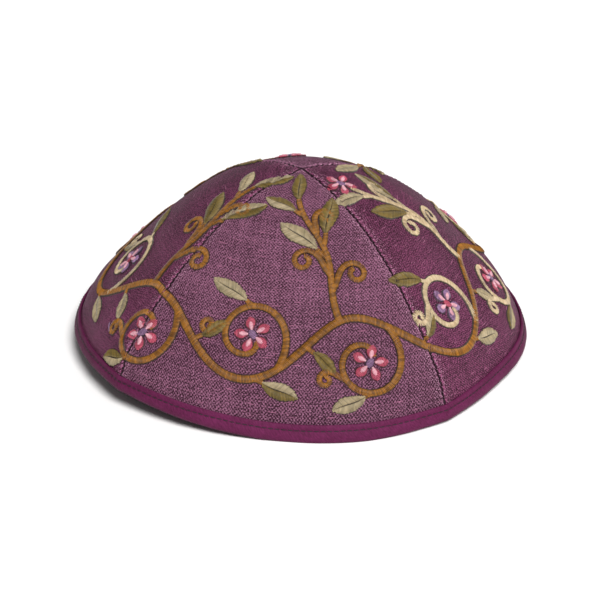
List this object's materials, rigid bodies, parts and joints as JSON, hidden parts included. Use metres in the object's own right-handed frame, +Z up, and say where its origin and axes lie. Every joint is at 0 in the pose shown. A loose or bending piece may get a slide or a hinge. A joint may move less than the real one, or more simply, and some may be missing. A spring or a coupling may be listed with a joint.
{
  "type": "kippah skullcap",
  "caption": "Domed cloth skullcap of sewn panels that meet at the crown, with a strip of bias binding folded over its open rim.",
  "frame": {"origin": "middle of the rim's outline, on the surface that the cap rests on", "axes": "+Z up through the crown, -Y towards the front panel, +X towards the right panel"},
  "size_m": [0.1701, 0.1627, 0.0716],
  "materials": {
    "raw_silk": "purple raw silk with slubs, machine embroidered",
    "cotton_sateen": "smooth plum cotton sateen, topstitched"
  },
  "bodies": {
    "root": {"panel_front": "raw_silk", "panel_right": "raw_silk", "panel_back": "raw_silk", "panel_left": "raw_silk", "rim_binding": "cotton_sateen"}
  },
  "joints": []
}
